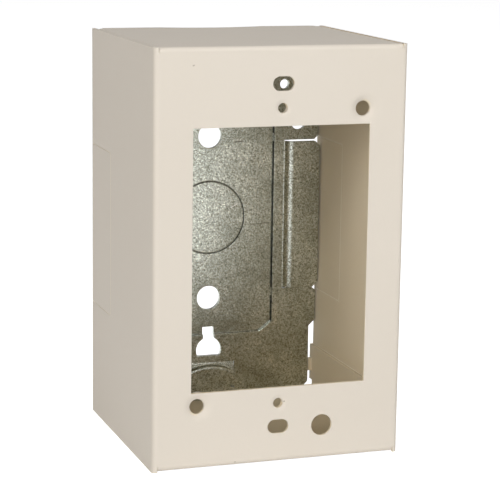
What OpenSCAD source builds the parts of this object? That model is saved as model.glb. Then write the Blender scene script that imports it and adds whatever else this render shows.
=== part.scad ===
// Extra-deep single-gang surface raceway box: a folded sheet cover, open at the back,
// and the stamped base plate that goes on the wall behind it.
// X is to the right, +Y goes into the wall and +Z is up. The origin is under the middle of the box,
// at the level of its lowest edge. Inside the modules, z = 0 is the box's mid height and
// y = 0 is the wall, and in_place() sets each piece on the origin.

/* [Cover] */
// Width over the side walls
box_width = 73.5; // [70:0.5:90]
// Height over the top and bottom walls
box_height = 117.5; // [116:0.5:130]
// Depth from the wall to the face
box_depth = 66.7; // [45:0.1:90]
// Thickness of the cover's sheet
cover_sheet = 0.95; // [0.8:0.05:1.2]
// Outside radius of the cover's folds
fold_radius = 1.4; // [1.3:0.1:2]
// How far the side walls reach below the bottom wall
side_drop = 0.3; // [0.1:0.1:0.5]
// Width of the seam at each front corner
corner_slot = 0.15; // [0.1:0.05:0.5]

/* [Device opening] */
// Width of the opening in the face
window_width = 51.4; // [48:0.2:56]
// How far the opening's middle lies below the mid height
window_drop = 0.15; // [0:0.05:0.4]
// Distance between the two tapped device holes
device_spacing = 83.34; // [82:0.02:85]
// Strip from the opening's end to the middle of a device hole
device_strip = 4.77; // [4.2:0.01:5.5]
// Bore of a tapped device hole
device_bore = 2.8; // [2.4:0.1:3.4]
// Outer diameter of the soft dish round a device hole
device_dish = 5.4; // [4.5:0.1:7]
// Depth of that dish at the hole
device_sink = 0.4; // [0.2:0.05:0.6]
// Wall of the collar drawn behind a device hole
collar_wall = 0.7; // [0.4:0.1:1]
// Depth of that collar behind the sheet
collar_depth = 1.1; // [0.7:0.1:2]
// Distance from a device hole to the plate slot beyond it
slot_rise = 6.73; // [6:0.01:7.6]
// Length of a plate slot, end to end
slot_length = 6.2; // [5:0.1:8]
// Width of a plate slot
slot_width = 4; // [3:0.1:5]

/* [Face holes] */
// Sideways place of the two dimpled screw holes, from the middle
screw_x = 23.75; // [18:0.25:27]
// Distance of the two dimpled screw holes beyond the opening's ends
screw_strip = 4.1; // [3.6:0.1:6]
// Bore of a dimpled screw hole
screw_bore = 4.25; // [3.5:0.05:4.6]
// Outer diameter of a dimple
dimple_outer = 9.2; // [8.4:0.1:10]
// Depth of a dimple
dimple_depth = 0.9; // [0.5:0.1:1.5]
// Bore of the plain hole beside the lower slot
plain_bore = 6.15; // [4:0.05:7]
// Sideways place of the plain hole
plain_x = 13.1; // [9:0.1:20]
// Distance of the plain hole beyond the lower slot's middle
plain_rise = 0.6; // [0:0.1:2]

/* [Lap tabs] */
// Height of the tabs folded in behind the side walls
tab_height = 16; // [12:0.5:22]
// Inside radius of the tight folds that turn the tabs in
tab_fold_inside = 0.1; // [0.05:0.05:0.4]
// Gap between a tab and its side wall
lap_gap = 0.1; // [0.05:0.05:0.2]
// Set-back of the tabs from the face
tab_setback = 3; // [2.5:0.5:6]
// Reach of the lugs that hold the base plate
lug_reach = 1.3; // [0.8:0.1:1.4]
// Height of a lug
lug_height = 4; // [2:0.5:6]
// Distance of a lug's middle below the tab's free edge
lug_drop = 6.3; // [4:0.1:8]
// Size of the notch at the rear end of each tab fold
tab_notch = 4.6; // [2:0.1:5]

/* [Side knock-outs] */
// Height of the scored side outline
knockout_height = 48.8; // [40:0.2:56]
// Reach of the scored side outline from the wall
knockout_reach = 21.5; // [15:0.5:28]
// Corner radius of that outline
knockout_corner = 1.5; // [0.8:0.1:4]
// Width of a side score line
score_width = 0.25; // [0.15:0.05:0.5]
// Depth of a side score line on each face, as a part of the sheet
score_depth = 0.12; // [0.08:0.02:0.35]
// Depth of the shallow scallop in the rear edge of the top and bottom walls
scallop_depth = 3; // [0.5:0.5:5]
// Width of that scallop
scallop_width = 32; // [16:1:40]

/* [Base plate] */
// Thickness of the plate's sheet
plate_sheet = 1.4; // [1.2:0.1:1.6]
// Height of the rim above the middle panel
rim_step = 0.8; // [0.4:0.1:1]
// Gap between the plate and the side walls
plate_side_gap = 0.5; // [0.3:0.1:0.8]
// Gap between the plate and the top and bottom walls
plate_end_gap = 0.3; // [0.2:0.1:0.6]
// Gap between the narrow ends and the lugs
lug_gap = 0.15; // [0.1:0.05:0.3]
// Length of each narrow end
end_length = 21.2; // [18:0.2:26]
// Chamfer at the plate's end corners
end_chamfer = 3.1; // [1:0.1:4]
// Distance from the plate's side edges to the middle panel
panel_side_margin = 14.5; // [14:0.1:16]
// Distance from the plate's end edges to the middle panel
panel_end_margin = 20.5; // [19.5:0.1:22]
// Chamfer of the middle panel's corners, across
panel_chamfer_x = 4.1; // [2:0.1:6]
// Chamfer of the middle panel's corners, up and down
panel_chamfer_z = 3.1; // [2:0.1:6]
// Width of the shear groove at the foot of the panel's side steps
groove_width = 0.35; // [0.2:0.05:0.6]
// Depth of that groove into the panel
groove_depth = 0.55; // [0.2:0.05:0.8]
// Length of the bridge that interrupts the groove
groove_bridge = 2.6; // [1:0.1:4]
// Diameter of the central knock-out
disc_diameter = 22.2; // [18:0.1:28]
// Width of the score ring round it
ring_width = 0.4; // [0.2:0.05:0.6]
// Depth of the ring in the panel's front, as a part of the sheet
ring_depth = 0.4; // [0.2:0.05:0.5]
// Depth of the ring in the panel's rear, as a part of the sheet
ring_rear_depth = 0.2; // [0.1:0.05:0.25]

/* [Plate holes] */
// Distance between the two wall-screw holes
wall_hole_spacing = 50.8; // [46:0.1:56]
// Bore of a wall-screw hole
wall_hole_bore = 7.5; // [5:0.1:8]
// Bore of the tapped holes behind the dimpled screws
tapped_bore = 2.9; // [2.5:0.1:3.8]
// Bore of the two small corner holes
corner_bore = 4.9; // [3:0.1:6]
// Distance of a corner hole from the plate's side edge
corner_inset = 6.7; // [5:0.1:8]
// Distance of a corner hole beyond the end of a side wing
corner_rise = 6; // [4.5:0.1:8]
// Width of a keyhole's stem
key_stem = 3.75; // [3:0.05:5]
// Diameter of a keyhole's head
key_head = 8.2; // [6:0.1:9]
// Distance of a keyhole's head from the plate's end edge
key_inset = 15.5; // [14.5:0.1:16.5]
// Length of a keyhole from the stem's end to the head's middle
key_length = 7.3; // [6:0.1:8]
// Distance from the head's middle to its flat end
key_flat = 1.8; // [1:0.1:2.5]

/* [Raceway tongues] */
// Height of a side wing
wing_height = 46.4; // [40:0.2:50]
// Sideways reach of a side wing, fold and all
wing_reach = 11.3; // [9:0.1:12]
// Rise of the wings and tongues above the rim
tongue_rise = 1.8; // [1.4:0.1:2.4]
// Inside radius of a joggle's first fold, at the rim
root_inside = 0.3; // [0.2:0.1:0.8]
// Inside radius of a joggle's second fold, at the raised flat
joggle_inside = 0.8; // [0.4:0.1:0.9]
// Slope of a wing's joggle
wing_slope = 55; // [40:1:57]
// Slope of a tongue's joggle
tongue_slope = 30; // [28:1:45]
// Width of the cut that frees a wing or tongue
lance_cut = 0.35; // [0.2:0.05:0.6]
// Chamfer of a wing's outer corners
wing_chamfer = 1.6; // [0.5:0.1:3]
// Chamfer of the rim beside a wing
rim_chamfer = 1.3; // [0.5:0.1:2]
// Width of an end tongue
tongue_width = 16.2; // [12:0.2:20]
// Length of an end tongue, fold and all
tongue_length = 11.4; // [9:0.1:12]
// Radius of the curved ledge over the tongue's slope
crown_radius = 16.5; // [14:0.5:30]
// Distance from the tongue's root to the top of that ledge
crown_drop = 0.65; // [0.5:0.05:1.5]
// Rounding of the ledge's edge
crown_edge = 0.9; // [0.4:0.1:1.1]
// Depth of the coined notches in the tongue's edges, from the side
tongue_notch = 1.2; // [0.5:0.1:2]
// Depth of those notches into the tongue's front
notch_coin = 0.7; // [0.3:0.1:1]

/* [Hidden] */
$fn = 64;
eps = 0.02;
far = 20;
face_y = -box_depth;
half_w = box_width / 2;
half_h = box_height / 2;
inner_half_w = half_w - cover_sheet;
window_height = device_spacing - 2 * device_strip;
slot_spacing = device_spacing + 2 * slot_rise;
screw_z = window_height / 2 + screw_strip;
plain_drop = slot_spacing / 2 + plain_rise;
tab_inner_half_w = inner_half_w - lap_gap - cover_sheet;
rim_rear = -rim_step;
rim_front = rim_rear - plate_sheet;
plate_half_w = inner_half_w - plate_side_gap;
plate_half_h = half_h - cover_sheet - plate_end_gap;
end_half_w = tab_inner_half_w - lug_reach - lug_gap;
shoulder_z = plate_half_h - end_length;
wing_half = wing_height / 2;
wing_root = plate_half_w - wing_reach;
tongue_root = plate_half_h - tongue_length;
notch_mid = plate_half_h - 4.2;
notch_height = 1.4;
ko_half = knockout_height / 2;
panel_half_w = plate_half_w - panel_side_margin;
panel_half_h = plate_half_h - panel_end_margin;
tab_fold = tab_fold_inside + cover_sheet;
root_turn = 20;
lap_length = 0.03;
lap_inset = 0.002;
fold_tail = 2 * eps;

// Sets a piece on the origin
module in_place() {
    translate([0, box_depth / 2, half_h + side_drop]) children();
}

// Repeats its children on both sides of the YZ plane
module both_sides() {
    children();
    mirror([1, 0, 0]) children();
}

// Repeats its children above and below the mid height
module both_ends() {
    children();
    mirror([0, 0, 1]) children();
}

// Repeats its children half a turn round about the Y axis
module half_turn() {
    children();
    rotate([0, 180, 0]) children();
}

// A flat slab from an XZ outline, its front at y = front
module slab(front, thickness) {
    translate([0, front + thickness, 0]) rotate([90, 0, 0]) linear_extrude(thickness) children();
}

// A round hole along Y through the sheet that starts at y = front
module hole_y(x, z, front, depth, d) {
    translate([x, front + depth + eps, z]) rotate([90, 0, 0]) cylinder(h = depth + 2 * eps, d = d);
}

// The section of a fold: a quarter of a ring in the third quadrant, with a short tail into each wall
module fold_section(radius, sheet) {
    intersection() {
        difference() {
            circle(radius);
            circle(radius - sheet);
        }
        translate([-radius, -radius]) square(radius);
    }
    translate([0, -radius]) square([fold_tail, sheet]);
    translate([-radius, 0]) square([sheet, fold_tail]);
}

// An obround slot outline
module slot_outline(length, width) {
    straight = (length - width) / 2;
    square([2 * straight, width], center = true);
    for (s = [-1, 1]) translate([s * straight, 0]) circle(d = width);
}

// The flat of the face, between its four folds
module face_flat() {
    slab(face_y, cover_sheet)
        square([2 * (half_w - fold_radius), 2 * (half_h - fold_radius)], center = true);
}

// A side wall with its front fold, as one bent section
module side_wall() {
    translate([0, 0, -half_h - side_drop]) linear_extrude(box_height + side_drop) {
        translate([-half_w + fold_radius, face_y + fold_radius]) fold_section(fold_radius, cover_sheet);
        translate([-half_w, face_y + fold_radius]) square([cover_sheet, box_depth - fold_radius]);
    }
}

// The bottom wall with its front fold, between the corner slots
module end_wall() {
    front_half = half_w - fold_radius - corner_slot;
    flat_half = inner_half_w - lap_gap - tab_fold;
    translate([-front_half, 0, 0]) rotate([90, 0, 90]) linear_extrude(2 * front_half)
        translate([face_y + fold_radius, -half_h + fold_radius]) fold_section(fold_radius, cover_sheet);
    translate([-flat_half, face_y + fold_radius, -half_h])
        cube([2 * flat_half, box_depth - fold_radius, cover_sheet]);
    translate([-front_half, face_y + fold_radius, -half_h])
        cube([2 * front_half, tab_setback - fold_radius, cover_sheet]);
}

// A lap tab, folded up from the bottom wall behind the side wall
module lap_tab() {
    outer = inner_half_w - lap_gap;
    length = box_depth - tab_setback;
    translate([0, 0, -half_h]) rotate([90, 0, 0]) linear_extrude(length) {
        translate([-outer + tab_fold, tab_fold]) fold_section(tab_fold, cover_sheet);
        translate([-outer, tab_fold]) square([cover_sheet, tab_height - tab_fold]);
    }
    translate([-tab_inner_half_w - eps, rim_front, -half_h + tab_height - lug_drop - lug_height / 2])
        cube([lug_reach + eps, plate_sheet, lug_height]);
}

// The notch that frees the rear end of a tab's fold
module tab_fold_notch() {
    translate([-inner_half_w + lap_gap / 2, -tab_notch / 2, -half_h - eps])
        cube([cover_sheet + tab_fold + lap_gap, tab_notch / 2 + eps, tab_notch + 2 * eps]);
}

// Radius of the arc that leaves the face level at r = outer and is depth deep at r = inner
function dish_radius(inner, outer, depth) = (pow(outer - inner, 2) + pow(depth, 2)) / (2 * depth);

// The metal behind a dish pressed into the face round the point x, z
module dish_back(x, z, inner, outer, depth) {
    radius = dish_radius(inner, outer, depth);
    translate([x, face_y, z]) rotate([-90, 0, 0]) rotate_extrude() intersection() {
        difference() {
            square([outer, depth + cover_sheet]);
            translate([outer, radius]) circle(radius - cover_sheet);
        }
        translate([0, cover_sheet / 2]) square([outer, depth + cover_sheet]);
    }
}

// The metal pressed away at the front of that dish
module dish_front(x, z, inner, outer, depth) {
    radius = dish_radius(inner, outer, depth);
    translate([x, face_y, z]) rotate([-90, 0, 0]) rotate_extrude() difference() {
        translate([0, -eps]) square([outer, depth + eps]);
        translate([outer, radius]) circle(radius);
    }
}

// A dimple and its screw hole, cut from the face
module dimple_front() {
    dish_front(screw_x, screw_z, screw_bore / 2, dimple_outer / 2, dimple_depth);
    hole_y(screw_x, screw_z, face_y, 2 * cover_sheet + dimple_depth, screw_bore);
}

// The outline of a side knock-out from the wall forwards, shrunk by an inset
module knockout_outline(inset) {
    reach = knockout_reach - inset;
    half = ko_half - inset;
    corner = knockout_corner - inset;
    translate([-reach + corner, -half]) square([reach - corner + far, 2 * half]);
    translate([-reach, -half + corner]) square([reach + far, 2 * (half - corner)]);
    for (s = [-1, 1]) translate([-reach + corner, s * (half - corner)]) circle(corner);
}

// Score lines round a side knock-out, on both faces of the left wall
module side_score() {
    depth = score_depth * cover_sheet;
    for (x = [-half_w - eps, -inner_half_w - depth])
        translate([x, 0, 0]) rotate([90, 0, 90]) linear_extrude(depth + eps) difference() {
            knockout_outline(0);
            knockout_outline(score_width);
        }
}

// A shallow scallop in the rear edge of the bottom wall
module scallop() {
    radius = (pow(scallop_width / 2, 2) + pow(scallop_depth, 2)) / (2 * scallop_depth);
    translate([0, radius - scallop_depth, -half_h - eps])
        cylinder(h = cover_sheet + 2 * eps, r = radius, $fn = 180);
}

module face_openings() {
    slab(face_y - eps, cover_sheet + 2 * eps) translate([0, -window_drop])
        square([window_width, window_height], center = true);
    both_ends() {
        slab(face_y - eps, cover_sheet + 2 * eps)
            translate([0, slot_spacing / 2]) slot_outline(slot_length, slot_width);
        dish_front(0, device_spacing / 2, device_bore / 2, device_dish / 2, device_sink);
        hole_y(0, device_spacing / 2, face_y, cover_sheet + collar_depth, device_bore);
    }
    half_turn() dimple_front();
    hole_y(plain_x, -plain_drop, face_y, cover_sheet, plain_bore);
}

module cover() color([0.88, 0.85, 0.79]) in_place() difference() {
    union() {
        face_flat();
        both_sides() side_wall();
        both_ends() end_wall();
        both_sides() both_ends() lap_tab();
        half_turn() dish_back(screw_x, screw_z, screw_bore / 2, dimple_outer / 2, dimple_depth);
        both_ends() hole_y(0, device_spacing / 2, face_y + cover_sheet / 2,
            cover_sheet / 2 + collar_depth, device_bore + 2 * collar_wall);
    }
    face_openings();
    both_sides() side_score();
    both_sides() both_ends() tab_fold_notch();
    both_ends() scallop();
}

// A bend of the plate's sheet about a point, between two directions in degrees
module bend_arc(inside, from, to) {
    outside = inside + plate_sheet;
    reach = 2 * outside;
    middle = (from + to) / 2;
    intersection() {
        difference() {
            circle(outside);
            circle(inside);
        }
        polygon([[0, 0], reach * [cos(from), sin(from)], reach * [cos(middle), sin(middle)],
            reach * [cos(to), sin(to)]]);
    }
}

// The straight length of a joggle's slope, between its two bends
function slope_length(rise, slope) =
    (rise - (root_inside + joggle_inside + plate_sheet) * (1 - cos(slope))) / sin(slope);

// How far a joggle runs along the sheet
function joggle_run(rise, slope) =
    (root_inside + joggle_inside + plate_sheet) * sin(slope) + slope_length(rise, slope) * cos(slope);

// The section of a joggled strip: flat, up the slope, then flat again to u = length.
// The slope laps a little way into both bends, a hair inside their surfaces.
module joggle_section(rise, slope, length) {
    run = joggle_run(rise, slope);
    low = [0, plate_sheet + root_inside];
    high = [run, rise - joggle_inside];
    across = [sin(slope), -cos(slope)];
    lap = lap_length * [cos(slope), sin(slope)];
    back = [sin(slope - root_turn), -cos(slope - root_turn)];
    near = root_inside + lap_inset;
    away = root_inside + plate_sheet - lap_inset;
    high_near = joggle_inside + lap_inset;
    high_away = joggle_inside + plate_sheet - lap_inset;
    translate([-plate_sheet, 0]) square([plate_sheet, plate_sheet]);
    translate(low) bend_arc(root_inside, -90, -90 + slope);
    polygon([low + near * across - lap, low + (near + away) / 2 * back, low + away * across - lap,
        high - high_near * across + lap, high - (high_near + high_away) / 2 * back,
        high - high_away * across + lap]);
    translate(high) bend_arc(joggle_inside, 90, 90 + slope);
    translate([run, rise]) square([length - run, plate_sheet]);
}

// A joggled strip along X that rises towards the front, its middle at z = 0
module joggled_strip(rise, slope, length, width) {
    translate([0, rim_rear, -width / 2]) mirror([0, 1, 0])
        linear_extrude(width) joggle_section(rise, slope, length);
}

// The plate's outline: wide in the middle, narrow and chamfered at its ends
module plate_outline() {
    step = plate_half_w - end_half_w;
    quarter = [[plate_half_w, 0], [plate_half_w, shoulder_z - step], [end_half_w, shoulder_z],
        [end_half_w, plate_half_h - end_chamfer], [end_half_w - end_chamfer, plate_half_h],
        [0, plate_half_h]];
    for (sx = [-1, 1], sz = [-1, 1])
        polygon(concat([[0, 0]], [for (p = quarter) [sx * p[0], sz * p[1]]]));
}

// The middle panel's outline, grown by a margin
module panel_outline(margin) {
    a = panel_half_w + margin;
    b = panel_half_h + margin;
    cx = panel_chamfer_x;
    cz = panel_chamfer_z;
    polygon([[a, -b + cz], [a, b - cz], [a - cx, b], [-a + cx, b], [-a, b - cz], [-a, -b + cz],
        [-a + cx, -b], [a - cx, -b]]);
}

// What is cut out of the rim for the right wing, with the chamfers beside it
module wing_clearance() {
    half = wing_half + lance_cut;
    translate([wing_root, -half]) square([wing_reach + far, 2 * half]);
    for (s = [-1, 1])
        polygon([[plate_half_w - rim_chamfer, s * half], [plate_half_w + eps, s * half],
            [plate_half_w + eps, s * (half + rim_chamfer)]]);
}

// What is cut out of the rim for the lower tongue
module tongue_clearance() {
    half = tongue_width / 2 + lance_cut;
    translate([-half, -plate_half_h - far]) square([2 * half, tongue_length + far]);
}

// A raceway wing on the right side, its outer corners chamfered
module wing() {
    translate([wing_root, 0, 0]) difference() {
        joggled_strip(tongue_rise, wing_slope, wing_reach, wing_height);
        for (s = [-1, 1]) translate([wing_reach, 0, s * wing_half]) rotate([0, 45, 0])
            cube([sqrt(2) * wing_chamfer, far, sqrt(2) * wing_chamfer], center = true);
    }
}

// The curved ledge over the lower tongue's slope: a disc with a rounded front edge
module crown_disc() {
    core = crown_radius - crown_edge;
    translate([0, rim_front - tongue_rise, -tongue_root - crown_drop - crown_radius])
        rotate([-90, 0, 0]) rotate_extrude($fn = 180) {
            square([core, plate_sheet]);
            translate([0, crown_edge]) square([crown_radius, plate_sheet - crown_edge]);
            intersection() {
                translate([core, crown_edge]) circle(crown_edge);
                translate([core, 0]) square(crown_edge);
            }
        }
}

// A raceway tongue at the lower end, with its curved ledge and coined edge notches
module tongue() {
    difference() {
        union() {
            translate([0, 0, -tongue_root]) rotate([0, 90, 0])
                joggled_strip(tongue_rise, tongue_slope, tongue_length, tongue_width);
            intersection() {
                crown_disc();
                slab(rim_front - far, 2 * far) translate([-tongue_width / 2, -plate_half_h])
                    square([tongue_width, tongue_length]);
            }
        }
        for (s = [-1, 1]) translate([s * tongue_width / 2, rim_front - tongue_rise, -notch_mid])
            cube([2 * tongue_notch, 2 * notch_coin, notch_height], center = true);
    }
}

// The outline of the lower keyhole: a round head with a flat end, and a stem above it
module keyhole_outline() {
    translate([0, key_inset - plate_half_h]) {
        difference() {
            circle(d = key_head);
            translate([-key_head, -key_head - key_flat]) square([2 * key_head, key_head]);
        }
        translate([-key_stem / 2, 0]) square([key_stem, key_length]);
    }
}

// The shear groove at the foot of the step on the right side of the middle panel
module panel_groove() {
    edge = wing_half + groove_bridge;
    slab(-plate_sheet - eps, groove_depth + eps) translate([panel_half_w - groove_width, 0]) {
        translate([0, -wing_half]) square([groove_width, wing_height]);
        for (z = [-panel_half_h + panel_chamfer_z, edge])
            translate([0, z]) square([groove_width, panel_half_h - panel_chamfer_z - edge]);
    }
}

module plate_holes() {
    slab(rim_front - tongue_rise - eps, far) {
        for (s = [-1, 1]) translate([0, s * wall_hole_spacing / 2]) circle(d = wall_hole_bore);
        for (s = [0, 180]) rotate(s) {
            translate([screw_x, screw_z]) circle(d = tapped_bore);
            translate([plate_half_w - corner_inset, wing_half + corner_rise]) circle(d = corner_bore);
            keyhole_outline();
        }
    }
}

// Score rings of the central knock-out, on both faces of the panel
module disc_score() {
    front = ring_depth * plate_sheet;
    rear = ring_rear_depth * plate_sheet;
    for (ring = [[-plate_sheet - eps, front], [-rear, rear]])
        slab(ring[0], ring[1] + eps) difference() {
            circle(d = disc_diameter + 2 * ring_width);
            circle(d = disc_diameter);
        }
}

module base_plate() color([0.55, 0.54, 0.5]) in_place() difference() {
    union() {
        slab(rim_front, plate_sheet) difference() {
            plate_outline();
            panel_outline(0);
            wing_clearance();
            mirror([1, 0]) wing_clearance();
            tongue_clearance();
            mirror([0, 1]) tongue_clearance();
        }
        slab(-plate_sheet, plate_sheet) panel_outline(rim_step / 2);
        both_sides() wing();
        both_ends() tongue();
    }
    plate_holes();
    both_sides() panel_groove();
    disc_score();
}

cover();
base_plate();
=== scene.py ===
"""Looks for the raceway box: ivory powder coat, mottled zinc, studio light and the photo's camera."""
import math

import bpy
from mathutils import Matrix, Vector

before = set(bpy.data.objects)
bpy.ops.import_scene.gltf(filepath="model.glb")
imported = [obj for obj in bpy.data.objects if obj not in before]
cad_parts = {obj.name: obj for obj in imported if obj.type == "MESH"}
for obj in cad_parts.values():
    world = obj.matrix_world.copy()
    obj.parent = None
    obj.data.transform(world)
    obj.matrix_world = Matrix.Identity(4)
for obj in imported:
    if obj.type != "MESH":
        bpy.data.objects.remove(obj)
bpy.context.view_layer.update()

# Camera, fitted to the box's edges in the photo, in metres and degrees
FRAME_PX = 500
CAMERA_PLACE = Vector((-0.17458, -0.51090, 0.16147))
LOOK_RIGHT = 19.21
LOOK_DOWN = 10.585
ROLL = 0.84
FOCAL_PX = 1871.9
CENTRE_PX = (253.4, 231.2)
SENSOR_MM = 36

BOX_MIDDLE = (0, 0, 0.059)
MM_PER_M = 1000

# Marks on the plate and the cover: start, end, width and strength, as X and Z in millimetres
PLATE_MARKS = (
    ((13.4, 56.3), (19.7, 56.6), 0.22, 0.9),
    ((7.9, 82.3), (10.4, 82.5), 0.5, 0.8),
)
PLATE_SCRATCHES = (
    ((7.0, 61.8), (9.2, 63.0), 0.3, 0.8),
)
FACE_SPECKS = (
    ((-25.9, 112.8), (-25.6, 112.9), 0.5, 0.5),
    ((-12.8, 1.3), (-12.5, 1.35), 0.4, 0.45),
    ((1.72, 17.7), (1.82, 17.8), 0.5, 0.7),
)

# Painted highlights along the pressed lines round the side knock-outs, seen on the inner faces: the same, as
# Y and Z in millimetres
SIDE_LINE_HIGHLIGHTS = (
    ((11.9, 34.7), (11.9, 83.4), 0.7, 0.35),
    ((11.9, 34.7), (33.0, 34.7), 0.7, 0.35),
    ((11.9, 83.4), (33.0, 83.4), 0.7, 0.35),
)

# Soft boxes: name, azimuth, elevation, side in metres, power in watts, colour
LIT_POINT = Vector((0, 0, 0.06))
LIGHT_DISTANCE = 1.5
LIGHTS = (
    ("left", -50, 8, 0.8, 10.2, (1.0, 0.97, 0.94)),
    ("key", -25, 35, 0.4, 4.6, (1.0, 1.0, 0.98)),
    ("right", 30, 20, 0.8, 7.9, (1.0, 1.0, 1.0)),
    ("overhead", 0, 85, 0.8, 7.3, (1.0, 0.97, 0.96)),
)

# Colours as written, linear
IVORY = (0.752, 0.695, 0.612)
IVORY_WARM = (0.728, 0.665, 0.575)
IVORY_INSIDE_LIT = (0.800, 0.700, 0.530)
IVORY_SCORE_HIGHLIGHT = (0.95, 0.88, 0.74)
ZINC_LIGHT = (0.95, 0.99, 0.93)
ZINC_DARK = (0.21, 0.22, 0.17)
ZINC_CREVICE_SHADE = (0.07, 0.065, 0.05)
SPECK = (0.22, 0.17, 0.11)
ZINC_PIT = (0.16, 0.15, 0.12)
WHITE = (1.0, 1.0, 1.0)

# Paint: scale of each noise, span of the roughness, gloss, reach of the painted highlight in the score lines
# in metres
DRIFT_SCALE = 22.0
WAVE_SCALE = 160.0
PEEL_SCALE = 1500.0
PAINT_ROUGHNESS = (0.50, 0.62)
PAINT_GLOSS = 0.2
SCORE_HIGHLIGHT_REACH = 0.0003

# Zinc: scale of each noise, span of the roughness, reach of the painted shade in grooves and corners in
# metres
CLOUD_SCALE = 70.0
WORM_SCALE = 2200.0
PIT_SCALE = 2600.0
ZINC_ROUGHNESS = (0.26, 0.16)
CREVICE_SHADE_REACH = 0.0009

# Edges rounded in shading only, in metres, and the rays that an edge or a hollow takes
PAINT_EDGE = 0.00025
ZINC_EDGE = 0.0004
SHADER_SAMPLES = 8

# Where a mask sets in: the normal's Y on the face, its X on a side wall, metres past the box's middle
FACE_NORMAL = (-0.85, -0.8)
SIDE_NORMAL = (0.98, 0.99)
INSIDE_BLUR = 0.004

# Where the white starts and ends its fade to the ceiling, as the Z of a ray that looks up
CEILING_FADE = (0.2, 0.5)


def node(tree, kind, **inputs):
    """A new shader node, its inputs set from plain values or linked from other nodes' outputs."""
    made = tree.nodes.new(kind)
    for name, value in inputs.items():
        feed(tree, value, made.inputs[name.replace("_", " ")])
    return made


def feed(tree, value, socket):
    """Links a node's output to a socket, or sets the socket to a plain value."""
    if isinstance(value, bpy.types.NodeSocket):
        tree.links.new(value, socket)
    else:
        socket.default_value = value


def maths(tree, operation, *values, clamp=False):
    """One step of arithmetic on plain values or outputs."""
    made = tree.nodes.new("ShaderNodeMath")
    made.operation = operation
    made.use_clamp = clamp
    for value, socket in zip(values, made.inputs):
        feed(tree, value, socket)
    return made.outputs[0]


def new_material(name):
    """A material with a Principled shader and its output, and the object's own coordinates."""
    material = bpy.data.materials.new(name)
    material.use_nodes = True
    tree = material.node_tree
    shader = tree.nodes["Principled BSDF"]
    place = tree.nodes.new("ShaderNodeTexCoord").outputs["Object"]
    return material, tree, shader, place


def noise(tree, place, scale, detail=4.0, roughness=0.5, distortion=0.0):
    made = node(tree, "ShaderNodeTexNoise", Vector=place, Scale=scale, Detail=detail, Roughness=roughness,
                Distortion=distortion)
    return made.outputs["Fac"]


def ramp(tree, value, low, high, out_low=0.0, out_high=1.0):
    """Maps low..high to out_low..out_high and clamps."""
    made = node(tree, "ShaderNodeMapRange", Value=value, From_Min=low, From_Max=high, To_Min=out_low,
                To_Max=out_high)
    made.clamp = True
    return made.outputs["Result"]


def mix_colour(tree, amount, first, second):
    """Two colours, plain or from nodes, mixed by an amount."""
    made = tree.nodes.new("ShaderNodeMix")
    made.data_type = "RGBA"
    feed(tree, amount, made.inputs[0])
    for index, colour in ((6, first), (7, second)):
        plain = isinstance(colour, tuple)
        feed(tree, (*colour, 1.0) if plain else colour, made.inputs[index])
    return made.outputs[2]


def worn_edge(tree, radius):
    """The surface's normal, with every sharp edge rounded off by a hair."""
    made = node(tree, "ShaderNodeBevel", Radius=radius)
    made.samples = SHADER_SAMPLES
    return made.outputs["Normal"]


def bump(tree, height, strength, distance, normal):
    """A normal tilted by a height, where a height of 1 stands for distance in metres."""
    made = node(tree, "ShaderNodeBump", Height=height, Strength=strength, Distance=distance, Normal=normal)
    return made.outputs["Normal"]


def stroke_mask(tree, place, start, end, width, strength):
    """A short straight mark in the XZ plane, soft at its rim."""
    (x0, z0), (x1, z1) = start, end
    mapping = node(tree, "ShaderNodeMapping", Vector=place)
    mapping.vector_type = "TEXTURE"
    mapping.inputs["Location"].default_value = ((x0 + x1) / 2 / MM_PER_M, 0, (z0 + z1) / 2 / MM_PER_M)
    mapping.inputs["Rotation"].default_value = (0, -math.atan2(z1 - z0, x1 - x0), 0)
    parts = node(tree, "ShaderNodeSeparateXYZ", Vector=mapping.outputs["Vector"])
    along = maths(tree, "ABSOLUTE", parts.outputs["X"])
    across = maths(tree, "ABSOLUTE", parts.outputs["Z"])
    half_length = math.hypot(x1 - x0, z1 - z0) / 2 / MM_PER_M
    half_width = width / 2 / MM_PER_M
    lengthways = ramp(tree, along, half_length, half_length + half_width, 1.0, 0.0)
    sideways = ramp(tree, across, half_width * 0.4, half_width, 1.0, 0.0)
    return maths(tree, "MULTIPLY", maths(tree, "MULTIPLY", lengthways, sideways), strength)


def with_strokes(tree, place, colour, strokes, paint, where=1.0):
    """Lays each stroke's paint over a colour."""
    for stroke in strokes:
        mask = maths(tree, "MULTIPLY", stroke_mask(tree, place, *stroke), where)
        colour = mix_colour(tree, mask, colour, paint)
    return colour


def normal_parts(tree):
    """X, Y and Z of the surface's true normal."""
    geometry = tree.nodes.new("ShaderNodeNewGeometry")
    return node(tree, "ShaderNodeSeparateXYZ", Vector=geometry.outputs["True Normal"]).outputs


def face_only(tree):
    """1 on faces that look to the front, else 0."""
    return ramp(tree, normal_parts(tree)["Y"], *FACE_NORMAL, 1.0, 0.0)


def side_only(tree):
    """1 on the inner faces of the side walls, else 0."""
    sideways = ramp(tree, maths(tree, "ABSOLUTE", normal_parts(tree)["X"]), *SIDE_NORMAL)
    return maths(tree, "MULTIPLY", sideways, inside_mask(tree))


def side_place(tree, place):
    """The object's Y and Z, laid out as a stroke's X and Z."""
    parts = node(tree, "ShaderNodeSeparateXYZ", Vector=place)
    made = node(tree, "ShaderNodeCombineXYZ", X=parts.outputs["Y"], Z=parts.outputs["Z"])
    return made.outputs["Vector"]


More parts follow.
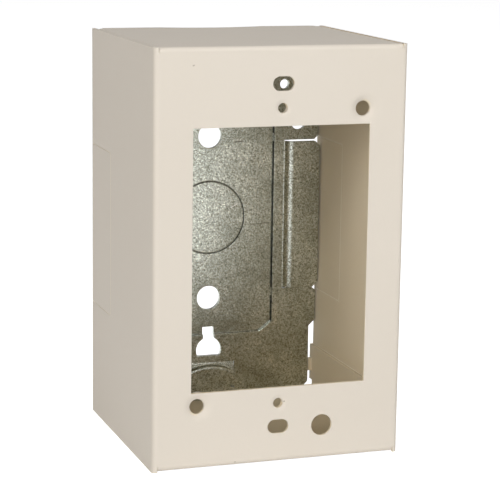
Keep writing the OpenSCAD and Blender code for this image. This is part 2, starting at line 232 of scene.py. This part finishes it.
def inside_mask(tree):
    """1 on faces that look towards the box's middle, 0 on faces that look outwards."""
    geometry = tree.nodes.new("ShaderNodeNewGeometry")
    from_middle = node(tree, "ShaderNodeVectorMath", Vector=geometry.outputs["Position"])
    from_middle.operation = "SUBTRACT"
    from_middle.inputs[1].default_value = BOX_MIDDLE
    facing = tree.nodes.new("ShaderNodeVectorMath")
    facing.operation = "DOT_PRODUCT"
    tree.links.new(from_middle.outputs["Vector"], facing.inputs[0])
    tree.links.new(geometry.outputs["True Normal"], facing.inputs[1])
    return ramp(tree, facing.outputs["Value"], -INSIDE_BLUR, INSIDE_BLUR, 1.0, 0.0)


def crevice(tree, reach, deep, shallow, most):
    """The value most in grooves and inside corners, open to the air by deep or less, and 0 above shallow."""
    hollow = node(tree, "ShaderNodeAmbientOcclusion", Distance=reach)
    hollow.samples = SHADER_SAMPLES
    return ramp(tree, hollow.outputs["AO"], deep, shallow, most, 0.0)


def ivory_paint():
    """Satin powder coat: faint orange peel, a little warmth that drifts over the sheet, a brighter warmer
    copy on the inner faces as painted light, and painted highlights in its grooves and score lines.
    """
    material, tree, shader, place = new_material("ivory_paint")
    drift = noise(tree, place, DRIFT_SCALE, detail=3.0)
    colour = mix_colour(tree, ramp(tree, drift, 0.35, 0.7, 0.0, 0.35), IVORY, IVORY_WARM)
    # Painted light: the inner faces get a brighter, warmer copy of the ivory, standing in for the light that
    # falls inside the box
    colour = mix_colour(tree, inside_mask(tree), colour, IVORY_INSIDE_LIT)
    # Painted highlight: tight grooves and score lines turn a paler cream, as if they catch the light
    colour = mix_colour(tree, crevice(tree, SCORE_HIGHLIGHT_REACH, 0.65, 0.9, 1.0), colour, IVORY_SCORE_HIGHLIGHT)
    colour = with_strokes(tree, place, colour, FACE_SPECKS, SPECK, face_only(tree))
    # Painted highlight: pale strokes along the knock-out outlines on the inner side walls
    colour = with_strokes(tree, side_place(tree, place), colour, SIDE_LINE_HIGHLIGHTS, IVORY_SCORE_HIGHLIGHT, side_only(tree))
    tree.links.new(colour, shader.inputs["Base Color"])
    peel = noise(tree, place, PEEL_SCALE, detail=2.0)
    tree.links.new(ramp(tree, peel, 0.3, 0.7, *PAINT_ROUGHNESS), shader.inputs["Roughness"])
    grain = bump(tree, peel, 0.25, 0.0001, worn_edge(tree, PAINT_EDGE))
    waves = bump(tree, noise(tree, place, WAVE_SCALE, detail=3.0), 0.12, 0.0006, grain)
    tree.links.new(waves, shader.inputs["Normal"])
    shader.inputs["Specular IOR Level"].default_value = PAINT_GLOSS
    return material


def zinc():
    """Hot-dip zinc: fine wormy spangle and dark pits over broad cloudy patches, with painted shade in its
    grooves and inside corners.
    """
    material, tree, shader, place = new_material("galvanised_steel")
    cloud = noise(tree, place, CLOUD_SCALE, detail=4.0, distortion=0.6)
    worm = noise(tree, place, WORM_SCALE, detail=3.0, roughness=0.7, distortion=1.2)
    pit = noise(tree, place, PIT_SCALE, detail=1.0)
    colour = mix_colour(tree, ramp(tree, worm, 0.38, 0.62), ZINC_DARK, ZINC_LIGHT)
    colour = mix_colour(tree, ramp(tree, cloud, 0.4, 0.65, 0.0, 0.45), colour, ZINC_DARK)
    colour = mix_colour(tree, ramp(tree, pit, 0.62, 0.72, 0.0, 0.7), colour, ZINC_PIT)
    # Painted shade: grooves and inside corners of the zinc are darkened by how little open air they see
    colour = mix_colour(tree, crevice(tree, CREVICE_SHADE_REACH, 0.35, 0.8, 0.6), colour, ZINC_CREVICE_SHADE)
    colour = with_strokes(tree, place, colour, PLATE_MARKS, ZINC_PIT)
    colour = with_strokes(tree, place, colour, PLATE_SCRATCHES, WHITE)
    tree.links.new(colour, shader.inputs["Base Color"])
    tree.links.new(ramp(tree, worm, 0.3, 0.7, *ZINC_ROUGHNESS), shader.inputs["Roughness"])
    grain = bump(tree, worm, 0.8, 0.00012, worn_edge(tree, ZINC_EDGE))
    tree.links.new(bump(tree, cloud, 0.1, 0.0006, grain), shader.inputs["Normal"])
    shader.inputs["Metallic"].default_value = 1.0
    return material


def dress(name, material):
    """Gives a CAD node its one material."""
    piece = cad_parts[name]
    piece.data.materials.clear()
    piece.data.materials.append(material)


def soft_box(name, azimuth, elevation, side, power, colour):
    """A square soft box that faces the object; azimuth runs from the front towards the right."""
    across, up = math.radians(azimuth), math.radians(elevation)
    away = Vector((math.sin(across) * math.cos(up), -math.cos(across) * math.cos(up), math.sin(up)))
    data = bpy.data.lights.new(name, "AREA")
    data.shape = "SQUARE"
    data.size = side
    data.energy = power
    data.color = colour
    lamp = bpy.data.objects.new(name, data)
    lamp.location = LIT_POINT + LIGHT_DISTANCE * away
    lamp.rotation_mode = "QUATERNION"
    lamp.rotation_quaternion = away.to_track_quat("Z", "Y")
    bpy.context.scene.collection.objects.link(lamp)


def background_ray(tree):
    """1 for rays that see the background: from the camera, off gloss, or through glass."""
    path = tree.nodes.new("ShaderNodeLightPath")
    total = path.outputs["Is Camera Ray"]
    for name in ("Is Glossy Ray", "Is Transmission Ray"):
        total = maths(tree, "ADD", total, path.outputs[name], clamp=True)
    return total


def studio_world(ambient, ceiling):
    """White where it is seen, duller towards the ceiling, and a plain soft level of light elsewhere."""
    world = bpy.data.worlds.new("studio")
    bpy.context.scene.world = world
    world.use_nodes = True
    tree = world.node_tree
    shader = tree.nodes["Background"]
    shader.inputs["Color"].default_value = (*WHITE, 1.0)
    direction = tree.nodes.new("ShaderNodeTexCoord").outputs["Generated"]
    height = node(tree, "ShaderNodeSeparateXYZ", Vector=direction).outputs["Z"]
    fade = ramp(tree, height, *CEILING_FADE, 1.0, ceiling)
    seen = maths(tree, "MULTIPLY", background_ray(tree), fade)
    unseen = ramp(tree, background_ray(tree), 0.0, 1.0, ambient, 0.0)
    tree.links.new(maths(tree, "ADD", seen, unseen, clamp=True), shader.inputs["Strength"])


def studio_floor(half, own, glow):
    """A pale floor that keeps the shadow: part of its white is its own, part is lit."""
    bpy.ops.mesh.primitive_plane_add(size=2 * half, location=(0, 0, 0))
    floor = bpy.context.object
    floor.name = "floor"
    material, tree, shader, _ = new_material("floor")
    shader.inputs["Base Color"].default_value = (own, own, own, 1.0)
    shader.inputs["Roughness"].default_value = 1.0
    shader.inputs["Specular IOR Level"].default_value = 0.0
    shader.inputs["Emission Color"].default_value = (*WHITE, 1.0)
    tree.links.new(ramp(tree, background_ray(tree), 0.0, 1.0, 0.0, glow), shader.inputs["Emission Strength"])
    floor.data.materials.append(material)


def photo_camera():
    """The photo's camera: place, aim, roll, focal length and the offset of its centre."""
    right, down, roll = (math.radians(a) for a in (LOOK_RIGHT, LOOK_DOWN, ROLL))
    ahead = Vector((math.sin(right) * math.cos(down), math.cos(right) * math.cos(down), -math.sin(down)))
    level = Vector((math.cos(right), -math.sin(right), 0))
    level_up = level.cross(ahead)
    side = level * math.cos(roll) + level_up * math.sin(roll)
    top = side.cross(ahead)
    data = bpy.data.cameras.new("camera")
    data.sensor_width = SENSOR_MM
    data.lens = FOCAL_PX / FRAME_PX * SENSOR_MM
    data.shift_x = (FRAME_PX / 2 - CENTRE_PX[0]) / FRAME_PX
    data.shift_y = (CENTRE_PX[1] - FRAME_PX / 2) / FRAME_PX
    camera = bpy.data.objects.new("camera", data)
    turn = Matrix((side, top, -ahead)).transposed().to_4x4()
    camera.matrix_world = Matrix.Translation(CAMERA_PLACE) @ turn
    bpy.context.scene.collection.objects.link(camera)
    bpy.context.scene.camera = camera


photo_camera()
dress("cover", ivory_paint())
dress("base_plate", zinc())

studio_world(ambient=0.05, ceiling=0.1)
studio_floor(half=3.0, own=0.8, glow=0.9)
for light in LIGHTS:
    soft_box(*light)

bpy.context.scene.view_settings.view_transform = "Standard"
